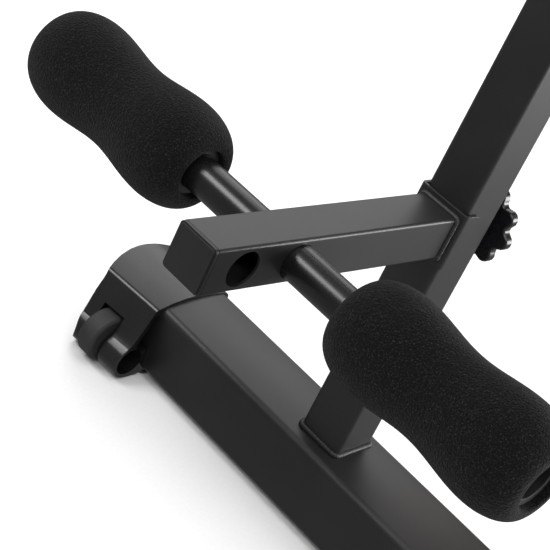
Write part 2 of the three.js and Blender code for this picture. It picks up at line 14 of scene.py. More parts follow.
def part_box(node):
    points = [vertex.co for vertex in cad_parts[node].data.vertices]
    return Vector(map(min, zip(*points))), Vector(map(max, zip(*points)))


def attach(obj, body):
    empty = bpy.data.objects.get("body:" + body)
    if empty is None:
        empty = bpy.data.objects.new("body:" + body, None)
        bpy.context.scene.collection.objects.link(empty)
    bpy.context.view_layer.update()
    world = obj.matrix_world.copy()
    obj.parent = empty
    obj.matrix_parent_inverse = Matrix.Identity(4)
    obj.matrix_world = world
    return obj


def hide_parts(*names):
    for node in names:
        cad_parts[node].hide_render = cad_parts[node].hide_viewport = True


bl_info = {
    "name": "Decline Sit Up Bench",
    "version": (1, 0, 0),
    "blender": (4, 5, 0),
    "location": "View3D > Sidebar > Bench",
    "description": "Builds the visible pieces of a decline sit up bench round its packed frame",
    "category": "Object",
}

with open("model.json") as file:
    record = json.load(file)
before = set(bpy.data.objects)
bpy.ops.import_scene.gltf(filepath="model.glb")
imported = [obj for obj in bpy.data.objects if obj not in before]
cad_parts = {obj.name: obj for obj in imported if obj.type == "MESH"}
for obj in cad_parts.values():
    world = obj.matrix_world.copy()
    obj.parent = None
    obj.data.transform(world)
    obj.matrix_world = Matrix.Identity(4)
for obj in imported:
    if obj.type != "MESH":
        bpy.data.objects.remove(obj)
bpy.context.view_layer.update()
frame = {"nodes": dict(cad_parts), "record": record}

MM = 0.001
POST_LEAN = math.radians(5)      # front post, top towards the head end
BEAM_SLOPE = math.radians(20)    # main beam, down towards the head end
POST_HALF = 22.5 * MM            # half the side of the front post
BAR_HALF = 19 * MM               # half the side of the ankle bar
BAR_TO_SADDLE = 133.5 * MM       # ankle bar's middle to the saddle that it is welded to
WELD_SINK = 0.4 * MM             # how far a bead's middle lies below the stabilizer's top
PLUG_RISE = 4.5 * MM             # tube plug's dome, from the tube's end to its crown
CLOTH_STEPS = 20                 # steps in which the cushion's cover fills
FLOOR_HALF = 80.0                # half the side of the paper floor


# ---------- colours and nodes ----------

def hex_rgb(code):
    """sRGB hex to linear RGB."""
    def linear(v):
        return v / 12.92 if v <= 0.04045 else ((v + 0.055) / 1.055) ** 2.4
    return tuple(linear(int(code[i:i + 2], 16) / 255) for i in (0, 2, 4))


def shades(colour, *parts):
    """The colour made darker or lighter by each part, as places and colours for a ramp."""
    return [(at, tuple(min(v * part, 1.0) for v in colour)) for at, part in parts]


def put(tree, kind, links=None, **settings):
    """Adds a node. Settings go to its properties or, by name, to its inputs; links feed its inputs."""
    made = tree.nodes.new(kind)
    for name, value in settings.items():
        if hasattr(made, name) and name not in made.inputs:
            setattr(made, name, value)
        else:
            made.inputs[name].default_value = value
    for name, source in (links or {}).items():
        tree.links.new(source, made.inputs[name])
    return made


def new_material(name, **principled):
    material = bpy.data.materials.new(name)
    material.use_nodes = True
    tree = material.node_tree
    tree.nodes.clear()
    shader = put(tree, "ShaderNodeBsdfPrincipled")
    for key, value in principled.items():
        shader.inputs[key.replace("_", " ")].default_value = value
    put(tree, "ShaderNodeOutputMaterial", {"Surface": shader.outputs[0]})
    place = put(tree, "ShaderNodeTexCoord").outputs["Object"]
    return material, tree, shader, place


def per_metre(size_mm):
    """Noise and Voronoi scale whose features are about that many millimetres across."""
    return 1000.0 / size_mm


def ramp(tree, fac, stops):
    made = put(tree, "ShaderNodeValToRGB", {"Fac": fac})
    points = made.color_ramp.elements
    while len(points) < len(stops):
        points.new(0.5)
    for point, (at, colour) in zip(points, stops):
        point.position, point.color = at, (*colour, 1.0)
    return made.outputs["Color"]


def spread(tree, fac, low, high, start=0.0, end=1.0):
    return put(tree, "ShaderNodeMapRange", {"Value": fac}, **{
        "From Min": start, "From Max": end, "To Min": low, "To Max": high}).outputs["Result"]


def bumped(tree, height, strength, depth_mm, below=None):
    links = {"Height": height}
    if below:
        links["Normal"] = below
    return put(tree, "ShaderNodeBump", links, Strength=strength, Distance=depth_mm * MM).outputs["Normal"]


def powder_coat(name, colour, rough):
    # Powder coat: polyester powder baked on steel. Satin on the square tubes and half gloss on the round
    # ones, with a slight orange peel about 2 mm across and a fine grain, which soften its reflections.
    material, tree, shader, place = new_material(name, IOR=1.5)
    peel = put(tree, "ShaderNodeTexNoise", {"Vector": place}, Scale=per_metre(2.2), Detail=2.0)
    grain = put(tree, "ShaderNodeTexNoise", {"Vector": place}, Scale=per_metre(0.5), Detail=3.0)
    patch = put(tree, "ShaderNodeTexNoise", {"Vector": place}, Scale=per_metre(70), Detail=2.0)
    shade = ramp(tree, patch.outputs["Fac"], shades(colour, (0.35, 0.7), (0.65, 1.0)))
    tree.links.new(shade, shader.inputs["Base Color"])
    tree.links.new(spread(tree, grain.outputs["Fac"], *rough), shader.inputs["Roughness"])
    normal = bumped(tree, peel.outputs["Fac"], 0.12, 0.12)
    tree.links.new(bumped(tree, grain.outputs["Fac"], 0.12, 0.05, normal), shader.inputs["Normal"])
    return material


def zinc_plate(colour):
    # Zinc plate: bright plating on steel fasteners, a little cloudy, with fine turning marks.
    material, tree, shader, place = new_material("zinc_plated_steel", Metallic=1.0)
    cloud = put(tree, "ShaderNodeTexNoise", {"Vector": place}, Scale=per_metre(6), Detail=3.0)
    shade = ramp(tree, cloud.outputs["Fac"], shades(colour, (0.3, 0.62), (0.7, 1.0)))
    tree.links.new(shade, shader.inputs["Base Color"])
    tree.links.new(spread(tree, cloud.outputs["Fac"], 0.26, 0.42), shader.inputs["Roughness"])
    mark = put(tree, "ShaderNodeTexNoise", {"Vector": place}, Scale=per_metre(0.8), Detail=2.0)
    tree.links.new(bumped(tree, mark.outputs["Fac"], 0.15, 0.05), shader.inputs["Normal"])
    return material


def moulded_polypropylene(name, colour, rough, grain_mm=0.7):
    # Polypropylene, injection moulded in a spark-eroded tool: black with a very fine even texture and a
    # soft broad gloss.
    material, tree, shader, place = new_material(name, IOR=1.49)
    grain = put(tree, "ShaderNodeTexNoise", {"Vector": place}, Scale=per_metre(grain_mm), Detail=3.0)
    flow = put(tree, "ShaderNodeTexNoise", {"Vector": place}, Scale=per_metre(45), Detail=1.0)
    shade = ramp(tree, flow.outputs["Fac"], shades(colour, (0.3, 0.73), (0.7, 1.0)))
    tree.links.new(shade, shader.inputs["Base Color"])
    gloss = spread(tree, grain.outputs["Fac"], rough - 0.05, rough + 0.06)
    tree.links.new(gloss, shader.inputs["Roughness"])
    tree.links.new(bumped(tree, grain.outputs["Fac"], 0.12, 0.06), shader.inputs["Normal"])
    return material


def glossy_abs(colour):
    # ABS, moulded in a polished tool: deep black with sharp reflections and a few faint scuffs.
    material, tree, shader, place = new_material("glossy_abs", IOR=1.5)
    scuff = put(tree, "ShaderNodeTexNoise", {"Vector": place}, Scale=per_metre(9), Detail=6.0)
    shade = ramp(tree, scuff.outputs["Fac"], shades(colour, (0.3, 0.62), (0.7, 1.0)))
    tree.links.new(shade, shader.inputs["Base Color"])
    tree.links.new(spread(tree, scuff.outputs["Fac"], 0.2, 0.34), shader.inputs["Roughness"])
    tree.links.new(bumped(tree, scuff.outputs["Fac"], 0.06, 0.2), shader.inputs["Normal"])
    return material


def closed_cell_foam(colour):
    # NBR foam, moulded with an open skin: near black and dull, with cells about 1 mm across and no clear
    # reflection. Pale flecks where the cells would catch light are painted highlights in the base colour.
    material, tree, shader, place = new_material(
        "nbr_foam", IOR=1.45, Roughness=0.95, Sheen_Weight=0.04, Sheen_Roughness=0.5,
        Specular_IOR_Level=0.15)
    cells = put(tree, "ShaderNodeTexVoronoi", {"Vector": place}, Scale=per_metre(1.9), Randomness=1.0)
    fine = put(tree, "ShaderNodeTexNoise", {"Vector": place},
               Scale=per_metre(1.1), Detail=3.0, Roughness=0.7)
    # Painted highlights: the top stop lifts flecks to seven times the base colour, standing in for light
    # caught by the cells.
    painted_glint_specks = ramp(tree, fine.outputs["Fac"], shades(colour, (0.46, 0.38), (0.58, 1.0), (0.7, 7.0)))
    tree.links.new(painted_glint_specks, shader.inputs["Base Color"])
    pits = bumped(tree, cells.outputs["Distance"], 0.8, 0.9)
    tree.links.new(bumped(tree, fine.outputs["Fac"], 0.8, 0.8, pits), shader.inputs["Normal"])
    return material


def wheel_rubber(colour):
    # Soft PVC, moulded: dark grey and matt with a faint bloom.
    material, tree, shader, place = new_material("soft_pvc", IOR=1.52)
    bloom = put(tree, "ShaderNodeTexNoise", {"Vector": place}, Scale=per_metre(12), Detail=4.0)
    grain = put(tree, "ShaderNodeTexNoise", {"Vector": place}, Scale=per_metre(0.6), Detail=2.0)
    shade = ramp(tree, bloom.outputs["Fac"], shades(colour, (0.3, 0.62), (0.7, 1.0)))
    tree.links.new(shade, shader.inputs["Base Color"])
    tree.links.new(spread(tree, bloom.outputs["Fac"], 0.55, 0.72), shader.inputs["Roughness"])
    tree.links.new(bumped(tree, grain.outputs["Fac"], 0.2, 0.08), shader.inputs["Normal"])
    return material


def grained_vinyl(colour):
    # PVC-coated fabric, embossed with a leather grain about 2 mm across: half gloss on the pebbles and
    # duller in the creases between them.
    material, tree, shader, place = new_material("grained_vinyl", IOR=1.5)
    pebble = put(tree, "ShaderNodeTexVoronoi", {"Vector": place}, feature="DISTANCE_TO_EDGE",
                 Scale=per_metre(2.4), Randomness=0.9)
    wrinkle = put(tree, "ShaderNodeTexNoise", {"Vector": place},
                  Scale=per_metre(5), Detail=5.0, Roughness=0.6)
    lift = spread(tree, pebble.outputs["Distance"], 0.0, 1.0, 0.0, 0.22)
    shade = ramp(tree, wrinkle.outputs["Fac"], shades(colour, (0.3, 0.61), (0.7, 1.0)))
    tree.links.new(shade, shader.inputs["Base Color"])
    tree.links.new(spread(tree, lift, 0.58, 0.4), shader.inputs["Roughness"])
    soft = bumped(tree, wrinkle.outputs["Fac"], 0.25, 0.4)
    tree.links.new(bumped(tree, lift, 0.35, 0.18, soft), shader.inputs["Normal"])
    return material


def birch_plywood(colour):
    # Birch plywood, sawn and sanded: pale, with long grain along the board and glue lines on its edges.
    material, tree, shader, place = new_material("birch_plywood", IOR=1.5)
    turn = put(tree, "ShaderNodeMapping", {"Vector": place},
               Rotation=(0, BEAM_SLOPE, 0), Scale=(0.06, 1, 1))
    grain = put(tree, "ShaderNodeTexNoise", {"Vector": turn.outputs[0]}, Scale=per_metre(9), Detail=6.0)
    ply = put(tree, "ShaderNodeTexWave", {"Vector": turn.outputs[0]}, wave_type="BANDS",
              bands_direction="Z", Scale=per_metre(2.4) / 6.3)
    wood = ramp(tree, grain.outputs["Fac"], shades(colour, (0.3, 0.7), (0.55, 1.0), (0.75, 1.2)))
    lines = ramp(tree, ply.outputs["Fac"], [(0.2, hex_rgb("8c7150")), (0.5, hex_rgb("ffffff"))])
    mixed = put(tree, "ShaderNodeMix", data_type="RGBA", blend_type="MULTIPLY")
    mixed.inputs["Factor"].default_value = 0.35
    tree.links.new(wood, mixed.inputs[6])
    tree.links.new(lines, mixed.inputs[7])
    tree.links.new(mixed.outputs[2], shader.inputs["Base Color"])
    tree.links.new(spread(tree, grain.outputs["Fac"], 0.55, 0.75), shader.inputs["Roughness"])
    tree.links.new(bumped(tree, grain.outputs["Fac"], 0.2, 0.15), shader.inputs["Normal"])
    return material


def bonded_nylon(colour):
    # Bonded nylon thread: black, twisted, with a slight shine.
    material, tree, shader, place = new_material("bonded_nylon", IOR=1.53, Roughness=0.5)
    twist = put(tree, "ShaderNodeTexNoise", {"Vector": place}, Scale=per_metre(0.5), Detail=1.0)
    shade = ramp(tree, twist.outputs["Fac"], shades(colour, (0.3, 0.43), (0.7, 1.0)))
    tree.links.new(shade, shader.inputs["Base Color"])
    tree.links.new(bumped(tree, twist.outputs["Fac"], 0.4, 0.1), shader.inputs["Normal"])
    return material


def studio_paper(colour):
    # Seamless paper: plain, pale and matt.
    material, tree, shader, place = new_material("seamless_paper", Roughness=0.9)
    fibre = put(tree, "ShaderNodeTexNoise", {"Vector": place}, Scale=per_metre(3), Detail=2.0)
    shade = ramp(tree, fibre.outputs["Fac"], shades(colour, (0.3, 0.97), (0.7, 1.0)))
    tree.links.new(shade, shader.inputs["Base Color"])
    return material


FINISHES = {}


def finish_named(name):
    """Each material is made once, on first use."""
    s = bpy.context.scene.bench_finish
    makers = {
        "steel": lambda: powder_coat("satin_powder_coat", s.steel, (0.36, 0.48)),
        "tube": lambda: powder_coat("half_gloss_powder_coat", s.tube, (0.22, 0.32)),
        "zinc": lambda: zinc_plate(s.zinc),
        "plastic": lambda: moulded_polypropylene("moulded_polypropylene", s.cap, 0.25),
        "plug": lambda: moulded_polypropylene("matt_polypropylene", s.plug, 0.5, 0.9),
        "gloss": lambda: glossy_abs(s.knob),
        "foam": lambda: closed_cell_foam(s.foam),
        "rubber": lambda: wheel_rubber(s.rubber),
        "vinyl": lambda: grained_vinyl(s.vinyl),
        "wood": lambda: birch_plywood(s.wood),
        "thread": lambda: bonded_nylon(s.thread),
        "paper": lambda: studio_paper(bpy.context.scene.bench_stage.paper),
    }
    if name not in FINISHES:
        FINISHES[name] = makers[name]()
    return FINISHES[name]


# ---------- mesh helpers ----------

def link(name, mesh):
    piece = bpy.data.objects.new(name, mesh)
    bpy.context.scene.collection.objects.link(piece)
    return piece


def smooth(mesh, angle=32):
    mesh.shade_smooth()
    mesh.set_sharp_from_angle(angle=math.radians(angle))


def applied(piece):
    """Bakes the piece's modifiers into its mesh."""
    bpy.context.view_layer.update()
    made = bpy.data.meshes.new_from_object(piece.evaluated_get(bpy.context.evaluated_depsgraph_get()))
    old = piece.data
    piece.modifiers.clear()
    piece.data = made
    bpy.data.meshes.remove(old)
    return piece


def hand_over(piece, body, finish, slot, *replaced):
    """Gives a finished piece its material, hangs it on its body and hides the CAD parts that it replaces."""
    piece.data.materials.clear()
    piece.data.materials.append(finish_named(finish))
    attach(piece, body)
    if replaced:
        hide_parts(*replaced)
    return piece


def merged_copy(node):
    """A CAD solid's mesh, merged, with its flat faces joined up again."""
    made = bmesh.new()
    made.from_mesh(frame["nodes"][node].data)
    bmesh.ops.remove_doubles(made, verts=made.verts, dist=2e-5)
    bmesh.ops.dissolve_limit(made, angle_limit=math.radians(0.6), verts=made.verts, edges=made.edges)
    mesh = bpy.data.meshes.new(node)
    made.to_mesh(mesh)
    made.free()
    return mesh


def eased(node, body, finish, slot, edge_mm, angle=32):
    """The CAD piece with its sharp edges rounded, as pressed, sawn or moulded edges are."""
    piece = link(node + "_skin", merged_copy(node))
    ease = piece.modifiers.new("ease", "BEVEL")
    ease.width = edge_mm * MM
    ease.segments = 3
    ease.limit_method = "ANGLE"
    ease.angle_limit = math.radians(angle)
    ease.use_clamp_overlap = True
    ease.harden_normals = False
    applied(piece)
    smooth(piece.data, 40)
    weigh = piece.modifiers.new("weigh", "WEIGHTED_NORMAL")
    weigh.keep_sharp = True
    applied(piece)
    return hand_over(piece, body, finish, slot, node)


def body_of_node(node):
    return next(b for b, nodes in frame["record"]["behaviour"]["bodies"].items() if node in nodes)


def turned(name, profile, place, segments=64):
    """A solid turned about local +Y from (radius, along) points, closed or ending on the axis."""
    made = bmesh.new()
    rings = []
    for radius, along in profile:
        if radius < 1e-7:
            rings.append([made.verts.new((0, along, 0))])
        else:
            rings.append([made.verts.new((radius * math.cos(a), along, radius * math.sin(a)))
                          for a in (2 * math.pi * i / segments for i in range(segments))])
    for first, second in zip(rings, rings[1:]):
        for i in range(segments):
            j = (i + 1) % segments
            here = (first[i % len(first)], first[j % len(first)])
            there = (second[j % len(second)], second[i % len(second)])
            corners = list(dict.fromkeys(here + there))
            if len(corners) > 2:
                made.faces.new(corners)
    bmesh.ops.remove_doubles(made, verts=made.verts, dist=1e-6)
    bmesh.ops.recalc_face_normals(made, faces=made.faces)
    mesh = bpy.data.meshes.new(name)
    made.to_mesh(mesh)
    made.free()
    mesh.transform(place)
    return link(name, mesh)


def path_tree(name, inputs):
    """An empty Geometry Nodes tree with a path in, a mesh out and named number inputs."""
    tree = bpy.data.node_groups.new(name, "GeometryNodeTree")
    sockets = tree.interface
    sockets.new_socket("Path", in_out="INPUT", socket_type="NodeSocketGeometry")
    ids = {}
    for label, kind, value in inputs:
        made = sockets.new_socket(label, in_out="INPUT", socket_type=kind)
        made.default_value = value
        ids[label] = made.identifier
    sockets.new_socket("Mesh", in_out="OUTPUT", socket_type="NodeSocketGeometry")
    return tree, ids


def repeated_on_path(tree, given, shape, pitch, finish, wobble=None):
    """Puts a shape every so often along the path, turned with it, and gives the result its material."""
    curve = put(tree, "GeometryNodeMeshToCurve", {"Mesh": given.outputs["Path"]})
    spots = put(tree, "GeometryNodeCurveToPoints", {"Curve": curve.outputs[0]}, mode="LENGTH")
    tree.links.new(pitch, spots.inputs["Length"])
    placed = put(tree, "GeometryNodeInstanceOnPoints", {
        "Points": spots.outputs["Points"], "Instance": shape, "Rotation": spots.outputs["Rotation"]})
    if wobble:
        tree.links.new(wobble, placed.inputs["Scale"])
    real = put(tree, "GeometryNodeRealizeInstances", {"Geometry": placed.outputs[0]})
    dyed = put(tree, "GeometryNodeSetMaterial", {"Geometry": real.outputs[0]},
               Material=finish_named(finish))
    put(tree, "NodeGroupOutput", {"Mesh": dyed.outputs[0]})


def along_paths(name, tree, ids, paths, **values):
    """Runs a tree on paths, given as (points, closed), and returns one plain mesh object."""
    points, edges = [], []
    for path, closed in paths:
        start = len(points)
        points += [tuple(p) for p in path]
        edges += [(start + i, start + i + 1) for i in range(len(path) - 1)]
        if closed:
            edges.append((len(points) - 1, start))
    mesh = bpy.data.meshes.new(name)
    mesh.from_pydata(points, edges, [])
    piece = link(name, mesh)
    grown = piece.modifiers.new(name, "NODES")
    grown.node_group = tree
    for label, value in values.items():
        grown[ids[label.replace("_", " ")]] = value
    applied(piece)
    piece.data.shade_smooth()
    return piece


def arc(centre, radius, start, end, steps):
    """Points of a profile's round stretch, angles in degrees from the radius direction."""
    return [(centre[0] + radius * math.cos(math.radians(start + (end - start) * i / steps)),
             centre[1] + radius * math.sin(math.radians(start + (end - start) * i / steps)))
            for i in range(steps + 1)]


def square_path(half_x, half_y, corner, place, steps=5):
    """Points round a rectangle with round corners, in the XY plane of a placing matrix."""
    points = []
    for i, (sx, sy) in enumerate(((1, 1), (-1, 1), (-1, -1), (1, -1))):
        for k in range(steps + 1):
            a = math.pi / 2 * (i + k / steps)
            points.append(place @ Vector((sx * (half_x - corner) + corner * math.cos(a),
                                          sy * (half_y - corner) + corner * math.sin(a), 0)))
    return points


def tree_of(piece):
    """The piece's surface, ready for nearest-point searches."""
    bpy.context.view_layer.update()
    return BVHTree.FromObject(piece, bpy.context.evaluated_depsgraph_get())


def kd_of(points):
    line = KDTree(len(points))
    for i, point in enumerate(points):
        line.insert(point, i)
    line.balance()
    return line


def middle(node):
    low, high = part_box(node)
    return (Vector(low) + Vector(high)) / 2


# ---------- settings ----------

def colour_of(name, code):
    """A colour setting, with its default given as sRGB hex."""
    return FloatVectorProperty(name=name, description=f"Colour of the {name.lower()}", subtype="COLOR",
                               size=3, min=0.0, max=1.0, default=hex_rgb(code))


class BenchFinish(bpy.types.PropertyGroup):
    edge: FloatProperty(name="Steel edge", description="Rounding of sawn and pressed steel edges",
                        default=0.5 * MM, min=0.0001, unit="LENGTH")
    plastic_edge: FloatProperty(name="Plastic edge", description="Rounding of moulded plastic edges",
                                default=0.9 * MM, min=0.0001, unit="LENGTH")
    steel: colour_of("Square steel tubes", "1e1d1f")
    tube: colour_of("Round roller tubes", "141315")
    zinc: colour_of("Bolts and nuts", "b4b5b4")
    cap: colour_of("Stabilizer caps", "1b1a1c")
    plug: colour_of("Tube plugs and roller cores", "1c1b1d")
    knob: colour_of("Star knob", "19181b")
    foam: colour_of("Foam rollers", "111011")
    rubber: colour_of("Wheels and feet", "2b2929")
    vinyl: colour_of("Pad cover and piping", "222122")
    wood: colour_of("Plywood board", "c2a578")
    thread: colour_of("Stitches", "39373a")


class BenchRoller(bpy.types.PropertyGroup):
    radius: FloatProperty(name="Radius", description="Foam roller's radius at its lobes", default=0.042,
                          unit="LENGTH")
    waist: FloatProperty(name="Waist", description="Foam roller's radius at its middle", default=0.0368,
                         unit="LENGTH")
    end: FloatProperty(name="End", description="Radius where the round end begins", default=0.024,
                       unit="LENGTH")
    bore: FloatProperty(name="Bore", description="Radius of the hole for the core", default=0.0206,
                        unit="LENGTH")
    lobe: FloatProperty(name="Lobe", description="Widest point's distance from the end", default=0.036,
                        unit="LENGTH")


class BenchWeld(bpy.types.PropertyGroup):
    pitch: FloatProperty(name="Ripple pitch", description="Distance between weld ripples", default=0.0012,
                         unit="LENGTH")
    size: FloatProperty(name="Bead radius", description="Radius of a weld bead", default=0.003,
                        unit="LENGTH")
    seed: IntProperty(name="Seed", description="Seed of the ripples' unevenness", default=4)


class BenchPad(bpy.types.PropertyGroup):
    slack: FloatProperty(name="Slack", description="Cover's cut inside the pad's outline", default=0.003,
                         unit="LENGTH")
    thin: FloatProperty(name="Thinness", default=0.009, unit="LENGTH",
                        description="How much thinner the cover starts than the stuffed pad")
    voxel: FloatProperty(name="Grid", description="Spacing of the cover's simulation grid", default=0.006,
                         unit="LENGTH")
    pressure: FloatProperty(name="Pressure", description="Push of the stuffing from inside", default=4.0)
    swell: FloatProperty(name="Swell", description="Most that the cover moves as it fills", default=0.012,
                         unit="LENGTH")
    fill: FloatProperty(name="Fill", description="Stuffing, from slack to tight", default=0.8, min=0, max=1,
                        subtype="FACTOR")
    groove: FloatProperty(name="Seam width", description="Width either side that the seam pulls in",
                          default=0.009, unit="LENGTH")
    groove_depth: FloatProperty(name="Seam depth", description="How deep the seam pulls in", default=0.0025,
                                unit="LENGTH")
    piping: FloatProperty(name="Piping radius", description="Radius of the piping along the top edge",
                          default=0.0022, unit="LENGTH")
    row: FloatProperty(name="Stitch row", description="Distance between the piping and the rows of stitches",
                       default=0.008, unit="LENGTH")
    stitch: FloatProperty(name="Stitch pitch", description="Distance from one stitch to the next",
                          default=0.0055, unit="LENGTH")


class BenchStage(bpy.types.PropertyGroup):
    lens: FloatProperty(name="Lens", description="Camera's focal length on a 36 mm sensor", default=112.72,
                        subtype="DISTANCE_CAMERA")
    aim: FloatVectorProperty(name="Aim", description="Point the camera looks at",
                             default=(-0.5150, 0.0566, 0.2287), subtype="TRANSLATION")
    azimuth: FloatProperty(name="Azimuth", description="Camera's bearing from the aim", subtype="ANGLE",
                           default=math.radians(-145.28))
    elevation: FloatProperty(name="Elevation", description="Camera's height angle", subtype="ANGLE",
                             default=math.radians(31.37))
    roll: FloatProperty(name="Roll", description="Camera's turn about its line of sight", subtype="ANGLE",
                        default=math.radians(-23.07))
    distance: FloatProperty(name="Distance", description="Camera to aim", default=1.35, unit="LENGTH")
    paper: colour_of("Studio paper", "f7f7f7")


# ---------- operators ----------

class BENCH_OT_stage(bpy.types.Operator):
    """Adds the floor, the lights and the camera"""
    bl_idname = "bench.stage"
    bl_label = "Stage"

    def execute(self, context):
        s = context.scene.bench_stage
        floor_mesh = bpy.data.meshes.new("floor")
        side = FLOOR_HALF
        corners = [(-side, -side, 0), (side, -side, 0), (side, side, 0), (-side, side, 0)]
        floor_mesh.from_pydata(corners, [], [(0, 1, 2, 3)])
        floor = link("floor", floor_mesh)
        floor_mesh.materials.append(finish_named("paper"))
        floor.visible_glossy = False
        self.camera(context, s)
        aim = Vector(s.aim)
        # name, place from the aim, width, height and power
        for name, offset, width, height, power in (
            ("back_softbox", (1.9, 1.5, 1.75), 2.6, 2.2, 32),
            ("side_softbox", (1.3, -1.5, 0.1), 2.4, 0.7, 58),
            ("edge_softbox", (-1.15, 1.15, 1.65), 0.9, 0.7, 19),
        ):
            lamp = bpy.data.lights.new(name, "AREA")
            lamp.shape, lamp.size, lamp.size_y, lamp.energy = "RECTANGLE", width, height, power
            placed = bpy.data.objects.new(name, lamp)
            placed.location = aim + Vector(offset)
            placed.visible_camera = False
            placed.rotation_euler = (-Vector(offset)).to_track_quat("-Z", "Y").to_euler()
            context.scene.collection.objects.link(placed)
        ceiling = bpy.data.lights.new("ceiling_bounce", "SUN")
        ceiling.energy, ceiling.angle = 2.5, math.radians(70)
        overhead = bpy.data.objects.new("ceiling_bounce", ceiling)
        overhead.rotation_euler = Vector((-0.25, -0.3, 1.0)).to_track_quat("Z", "Y").to_euler()
        context.scene.collection.objects.link(overhead)
        world = bpy.data.worlds.new("studio")
        context.scene.world = world
        world.use_nodes = True
        tree = world.node_tree
        tree.nodes.clear()
        sky = put(tree, "ShaderNodeBackground", Color=(1.0, 1.0, 1.0, 1.0), Strength=0.28)
        put(tree, "ShaderNodeOutputWorld", {"Surface": sky.outputs[0]})
        context.scene.view_settings.view_transform = "Standard"
        return {"FINISHED"}

    @staticmethod
    def camera(context, s):
        back = Vector((math.cos(s.azimuth) * math.cos(s.elevation),
                       math.sin(s.azimuth) * math.cos(s.elevation), math.sin(s.elevation)))
        level = back.to_track_quat("Z", "Y").to_matrix()
        turned_by = level @ Matrix.Rotation(-s.roll, 3, "Z")
        data = bpy.data.cameras.new("camera")
        data.lens, data.sensor_width, data.clip_start, data.clip_end = s.lens, 36.0, 0.05, 60.0
        camera = bpy.data.objects.new("camera", data)
        camera.matrix_world = Matrix.Translation(Vector(s.aim) + back * s.distance) @ turned_by.to_4x4()
        context.scene.collection.objects.link(camera)
        context.scene.camera = camera


class BENCH_OT_steelwork(bpy.types.Operator):
    """Finishes the welded and bolted steel pieces"""
    bl_idname = "bench.steelwork"
    bl_label = "Steelwork"

    def execute(self, context):
        edge = context.scene.bench_finish.edge / MM
        for node in ("front_stabilizer", "rear_stabilizer", "front_post", "ankle_bar", "saddle_bracket",
                     "main_beam", "gusset_left", "gusset_right", "rear_riser", "cross_tube_front",
                     "cross_tube_rear"):
            eased(node, "frame", "steel", "steel", edge)
        for node in ("ankle_tube", "knee_tube"):
            eased(node, body_of_node(node), "tube", "steel", edge)
        return {"FINISHED"}


class BENCH_OT_welds(bpy.types.Operator):
    """Lays the weld beads round the joints of the frame"""
    bl_idname = "bench.welds"
    bl_label = "Weld beads"

    def execute(self, context):
        s = context.scene.bench_weld
        tree, ids = path_tree("weld_bead", (
            ("Pitch", "NodeSocketFloat", s.pitch),
            ("Radius", "NodeSocketFloat", s.size),
            ("Seed", "NodeSocketInt", s.seed)))
        given = put(tree, "NodeGroupInput")
        ripple = put(tree, "GeometryNodeMeshIcoSphere", {"Radius": given.outputs["Radius"]}, Subdivisions=2)
        flat = put(tree, "GeometryNodeTransform", {"Geometry": ripple.outputs["Mesh"]},
                   Scale=(1.0, 1.0, 0.62))
        uneven = put(tree, "FunctionNodeRandomValue", {"Seed": given.outputs["Seed"]}, data_type="FLOAT",
                     Min=0.94, Max=1.05)
        repeated_on_path(tree, given, flat.outputs[0], given.outputs["Pitch"], "steel",
                         uneven.outputs["Value"])
        bead = along_paths("weld_beads", tree, ids, self.paths(), Pitch=s.pitch, Radius=s.size, Seed=s.seed)
        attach(bead, "frame")
        return {"FINISHED"}

    @staticmethod
    def paths():
        """Where each weld runs: round a square tube's end, on the face that it meets."""
        lean = Matrix.Rotation(POST_LEAN, 4, "Y")
        post, bar, riser = middle("front_post"), middle("ankle_bar"), middle("rear_riser")
        front_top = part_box("front_stabilizer")[1][2] - WELD_SINK
        foot = Vector((post.x + (front_top - post.z) * math.tan(POST_LEAN), 0, front_top))
        bar_end = bar + lean @ Vector((BAR_TO_SADDLE, 0, 0))
        on_bracket = Matrix.Translation(bar_end) @ lean @ Matrix.Rotation(math.pi / 2, 4, "Y")
        rear_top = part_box("rear_stabilizer")[1][2] - WELD_SINK
        rear_foot = Vector((middle("rear_stabilizer").x, riser.y, rear_top))
        leaning = POST_HALF / math.cos(POST_LEAN)
        return [
            (square_path(leaning, POST_HALF, 4 * MM, Matrix.Translation(foot)), True),
            (square_path(BAR_HALF, BAR_HALF, 2.4 * MM, on_bracket), True),
            (square_path(POST_HALF, POST_HALF, 4 * MM, Matrix.Translation(rear_foot)), True),
        ]


class BENCH_OT_plastic(bpy.types.Operator):
    """Finishes the moulded caps and end plugs"""
    bl_idname = "bench.plastic"
    bl_label = "Caps and plugs"

    def execute(self, context):
        edge = context.scene.bench_finish.plastic_edge / MM
        for node in ("front_cap_left", "front_cap_right", "rear_cap_left", "rear_cap_right"):
            eased(node, "frame", "plastic", "plastic", edge)
        for node in ("post_top_cap", "ankle_bar_cap", "beam_cap_front", "beam_cap_rear"):
            eased(node, "frame", "plug", "plastic", 0.5)
        return {"FINISHED"}


class BENCH_OT_wheels(bpy.types.Operator):
    """Finishes the transport wheels, their axles and the rubber feet"""
    bl_idname = "bench.wheels"
    bl_label = "Wheels and feet"

    def execute(self, context):
        for side in ("left", "right"):
            eased(f"wheel_{side}", f"wheel_{side}", "rubber", "rubber", 1.0, 25)
            eased(f"wheel_axle_{side}", "frame", "zinc", "zinc", 0.4)
            for end in ("front", "rear"):
                eased(f"{end}_foot_{side}", "frame", "rubber", "rubber", 0.4)
        return {"FINISHED"}


class BENCH_OT_knob(bpy.types.Operator):
    """Finishes the star knob with its stud and washer"""
    bl_idname = "bench.knob"
    bl_label = "Star knob"

    def execute(self, context):
        eased("star_knob", "star_knob", "gloss", "gloss", 0.9, 30)
        eased("clamp_stud", "frame", "zinc", "zinc", 0.4)
        eased("knob_washer", "frame", "zinc", "zinc", 0.3)
        return {"FINISHED"}


class BENCH_OT_fasteners(bpy.types.Operator):
    """Finishes the bolts and nuts of the frame and the board"""
    bl_idname = "bench.fasteners"
    bl_label = "Fasteners"

    def execute(self, context):
        for kind in ("frame_bolt", "frame_nut", "board_bolt"):
            for i in range(1, 5):
                eased(f"{kind}_{i}", "frame", "zinc", "zinc", 0.5)
        return {"FINISHED"}


